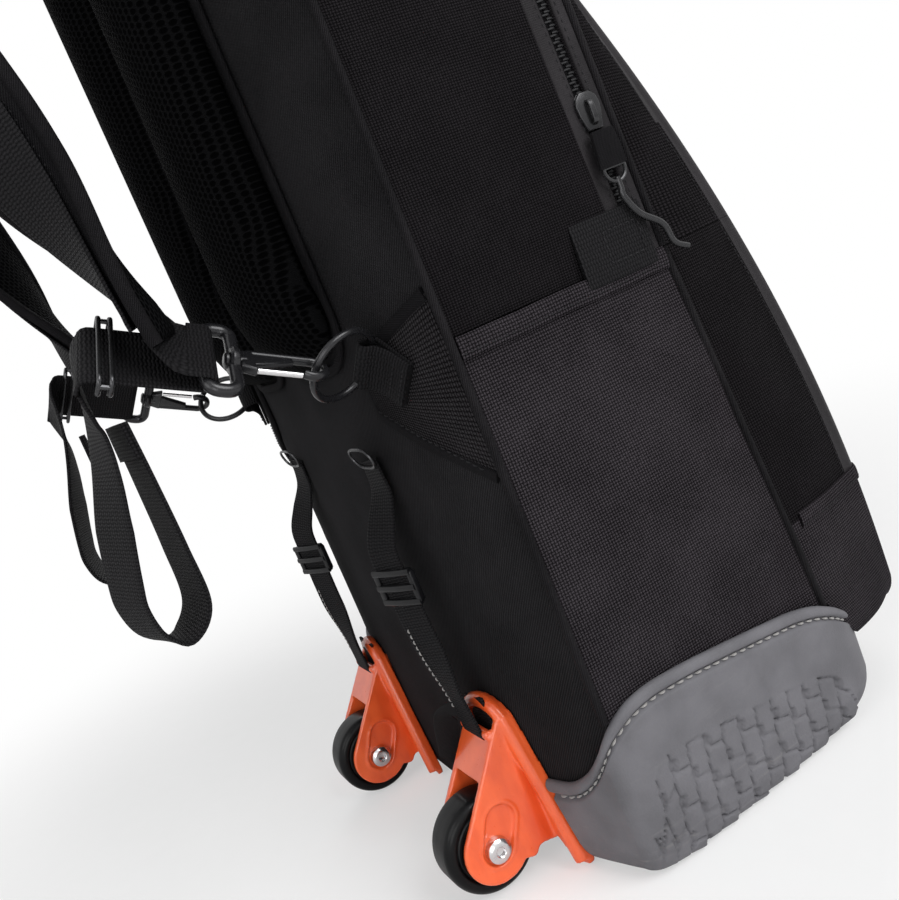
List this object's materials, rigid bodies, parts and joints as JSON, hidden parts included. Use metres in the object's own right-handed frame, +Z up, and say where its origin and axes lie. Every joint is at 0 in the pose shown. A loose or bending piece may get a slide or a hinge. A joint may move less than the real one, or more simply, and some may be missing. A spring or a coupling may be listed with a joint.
{
  "type": "golf travel case",
  "caption": "Tall soft travel case for golf clubs with a zipped front lid, front pocket, backpack harness, rubber corner boots and orange wheel brackets.",
  "frame": {"origin": "on the floor under the middle of the object's box, where the standing case rests on its boots", "axes": "+Z up along the case, +Y out of the back with the wheels and harness, -Y out of the front pocket, +X to the right seen from the front"},
  "size_m": [0.374, 0.4309, 1.2591],
  "materials": {
    "weave": "coarse ballistic weave, matt",
    "twill": "fine twill over foam, matt",
    "coated": "smooth coated fabric, low sheen",
    "mesh": "open spacer mesh, matt",
    "webbing": "ribbed woven webbing, low sheen",
    "board": "plain sheet",
    "rubber": "moulded grey rubber, matt",
    "orange": "glossy moulded plastic",
    "tyre": "smooth black, satin",
    "hub": "moulded black",
    "chrome": "bright plated steel",
    "black_metal": "black enamelled metal",
    "moulded": "moulded black acetal"
  },
  "bodies": {
    "case": {"back_panel": "twill", "top_panel": "weave", "bottom_panel": "twill", "front_lower_panel": "twill", "base_board": "board", "front_pocket": "coated", "grab_handle": "webbing", "side_panel_left": "weave", "side_kick_left": "weave", "boot_left": "rubber", "back_pad_left": "mesh", "wheel_bracket_left": "orange", "axle_bolt_left": "chrome", "axle_nut_left": "chrome", "wheel_strap_left": "webbing", "corner_patch_left": "weave", "ring_tab_left": "webbing", "hook_eye_left": "black_metal", "strap_webbing_left": "webbing", "shoulder_strap_left": "mesh", "zip_tab_left": "webbing", "side_panel_right": "weave", "side_kick_right": "weave", "boot_right": "rubber", "back_pad_right": "mesh", "wheel_bracket_right": "orange", "axle_bolt_right": "chrome", "axle_nut_right": "chrome", "wheel_strap_right": "webbing", "corner_patch_right": "weave", "ring_tab_right": "webbing", "hook_eye_right": "black_metal", "strap_webbing_right": "webbing", "shoulder_strap_right": "mesh", "zip_tab_right": "webbing"},
    "lid": {"lid_panel": "twill", "lid_gusset": "weave", "lid_pocket": "coated"},
    "wheel_left": {"wheel_tyre_left": "tyre", "wheel_hub_left": "hub", "wheel_bearing_left": "chrome"},
    "zip_slider_left": {"zip_slider_left": "black_metal"},
    "zip_pull_left": {"zip_pull_left": "webbing", "zip_hook_left": "black_metal"},
    "ring_left": {"strap_ring_left": "black_metal"},
    "hook_left": {"snap_hook_left": "black_metal"},
    "gate_left": {"hook_gate_left": "chrome"},
    "glide_left": {"tri_glide_left": "black_metal"},
    "buckle_left": {"strap_buckle_left": "moulded"},
    "wheel_right": {"wheel_tyre_right": "tyre", "wheel_hub_right": "hub", "wheel_bearing_right": "chrome"},
    "zip_slider_right": {"zip_slider_right": "black_metal"},
    "zip_pull_right": {"zip_pull_right": "webbing", "zip_hook_right": "black_metal"},
    "ring_right": {"strap_ring_right": "black_metal"},
    "hook_right": {"snap_hook_right": "black_metal"},
    "gate_right": {"hook_gate_right": "chrome"},
    "glide_right": {"tri_glide_right": "black_metal"},
    "buckle_right": {"strap_buckle_right": "moulded"}
  },
  "joints": [
    {"name": "lid_fold", "type": "hinge", "parent": "case", "child": "lid", "pos_m": [0, -0.18236, 0.315], "axis": [1, 0, 0], "range_deg": [0, 105]},
    {"name": "wheel_spin_left", "type": "hinge", "parent": "case", "child": "wheel_left", "pos_m": [-0.0935, 0.0908, 0.031], "axis": [1, 0, 0], "continuous": true},
    {"name": "zip_run_left", "type": "slide", "parent": "case", "child": "zip_slider_left", "axis": [0, 0.045, 0.999], "range_m": [0, 0.7]},
    {"name": "zip_pull_swing_left", "type": "hinge", "parent": "zip_slider_left", "child": "zip_pull_left", "pos_m": [-0.18515, -0.0934, 0.38395], "axis": [0, 1, 0], "range_deg": [0, 100]},
    {"name": "ring_turn_left", "type": "hinge", "parent": "case", "child": "ring_left", "pos_m": [-0.141, 0.07136, 0.323], "axis": [0.6929, 0.1991, 0.6929], "continuous": true},
    {"name": "hook_swivel_left", "type": "hinge", "parent": "case", "child": "hook_left", "pos_m": [-0.15, 0.0908, 0.32808], "axis": [0, 0.8829, 0.4695], "range_deg": [-25, 25]},
    {"name": "gate_press_left", "type": "hinge", "parent": "hook_left", "child": "gate_left", "pos_m": [-0.15595, 0.1169, 0.33736], "axis": [-0.5647, -0.3875, 0.7287], "range_deg": [0, 22], "stiffness_Nm_per_rad": 0.02, "springref_deg": -17.19},
    {"name": "glide_adjust_left", "type": "slide", "parent": "case", "child": "glide_left", "axis": [0, 0.8829, 0.4695], "range_m": [-0.006, 0.003]},
    {"name": "buckle_adjust_left", "type": "slide", "parent": "case", "child": "buckle_left", "axis": [0.0995, 0, 0.995], "range_m": [-0.01, 0.01]},
    {"name": "wheel_spin_right", "type": "hinge", "parent": "case", "child": "wheel_right", "pos_m": [0.0935, 0.0908, 0.031], "axis": [1, 0, 0], "continuous": true},
    {"name": "zip_run_right", "type": "slide", "parent": "case", "child": "zip_slider_right", "axis": [0, 0.045, 0.999], "range_m": [0, 0.7]},
    {"name": "zip_pull_swing_right", "type": "hinge", "parent": "zip_slider_right", "child": "zip_pull_right", "pos_m": [0.18515, -0.0934, 0.38395], "axis": [0, -1, 0], "range_deg": [0, 100]},
    {"name": "ring_turn_right", "type": "hinge", "parent": "case", "child": "ring_right", "pos_m": [0.141, 0.07136, 0.323], "axis": [0.6929, -0.1991, -0.6929], "continuous": true},
    {"name": "hook_swivel_right", "type": "hinge", "parent": "case", "child": "hook_right", "pos_m": [0.15, 0.0908, 0.32808], "axis": [0, 0.8829, 0.4695], "range_deg": [-25, 25]},
    {"name": "gate_press_right", "type": "hinge", "parent": "hook_right", "child": "gate_right", "pos_m": [0.14406, 0.11308, 0.34454], "axis": [0.5647, -0.3875, 0.7287], "range_deg": [0, 22], "stiffness_Nm_per_rad": 0.02, "springref_deg": -17.19},
    {"name": "glide_adjust_right", "type": "slide", "parent": "case", "child": "glide_right", "axis": [0, 0.8829, 0.4695], "range_m": [-0.006, 0.003]},
    {"name": "buckle_adjust_right", "type": "slide", "parent": "case", "child": "buckle_right", "axis": [-0.0995, 0, 0.995], "range_m": [-0.01, 0.01]}
  ]
}
